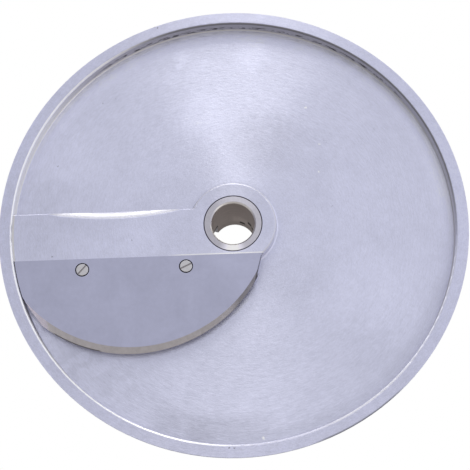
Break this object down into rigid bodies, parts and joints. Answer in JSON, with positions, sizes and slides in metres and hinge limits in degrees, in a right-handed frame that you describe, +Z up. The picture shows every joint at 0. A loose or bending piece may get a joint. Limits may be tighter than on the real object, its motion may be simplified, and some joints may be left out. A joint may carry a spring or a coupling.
{
  "type": "food processor slicing disc",
  "caption": "Round slicing disc for a vegetable cutter: dished cast plate with raised rim, bushed hub, arm and a crescent blade bolted over a slice opening.",
  "frame": {"origin": "on the shaft axis, at the lower face of the hub", "axes": "+Z up along the shaft axis towards the blade side, -X along the arm, -Y from the arm towards the cutting edge"},
  "size_m": [0.205, 0.205, 0.031],
  "materials": {
    "cast_plate": "turned and brushed cast aluminium with fine circular marks, dirt in the corner below the rim and a few pits",
    "bush_steel": "turned steel, bright on the end face and dull in the bore",
    "blade_steel": "satin stainless steel with a ground bevel along the cutting edge",
    "screw_steel": "worn plain steel with lightly burred slots"
  },
  "bodies": {
    "root": {"disc_body": "cast_plate", "hub_bush": "bush_steel", "blade": "blade_steel", "blade_screw_outer": "screw_steel", "blade_screw_inner": "screw_steel"}
  },
  "joints": []
}
